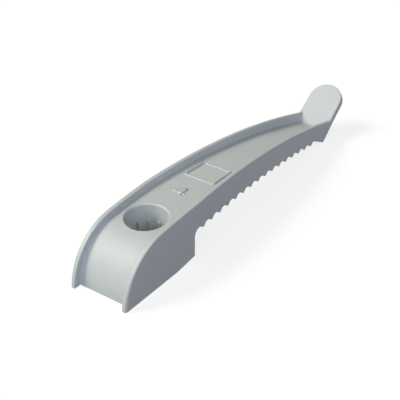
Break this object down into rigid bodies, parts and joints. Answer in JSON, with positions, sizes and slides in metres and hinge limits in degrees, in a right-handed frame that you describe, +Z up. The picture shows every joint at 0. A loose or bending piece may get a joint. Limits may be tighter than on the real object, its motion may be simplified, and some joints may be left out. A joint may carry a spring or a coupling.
{
  "type": "one-hole cable clamp",
  "caption": "Moulded screw-on clamp that holds a flat run of cables to a wall: a solid foot with a fixing hole, a long tapered toothed arm with side rims, and a thumb tab.",
  "frame": {"origin": "axis of the fixing hole, on the plane of the foot's underside", "axes": "+X from the foot along the arm to the thumb tab, +Z up out of the wall along the fixing hole, Y across the clamp"},
  "size_m": [0.0961, 0.015, 0.0135],
  "materials": {
    "body": "fine moulded grain, light grey"
  },
  "bodies": {
    "root": {"clamp_body": "body"}
  },
  "joints": []
}
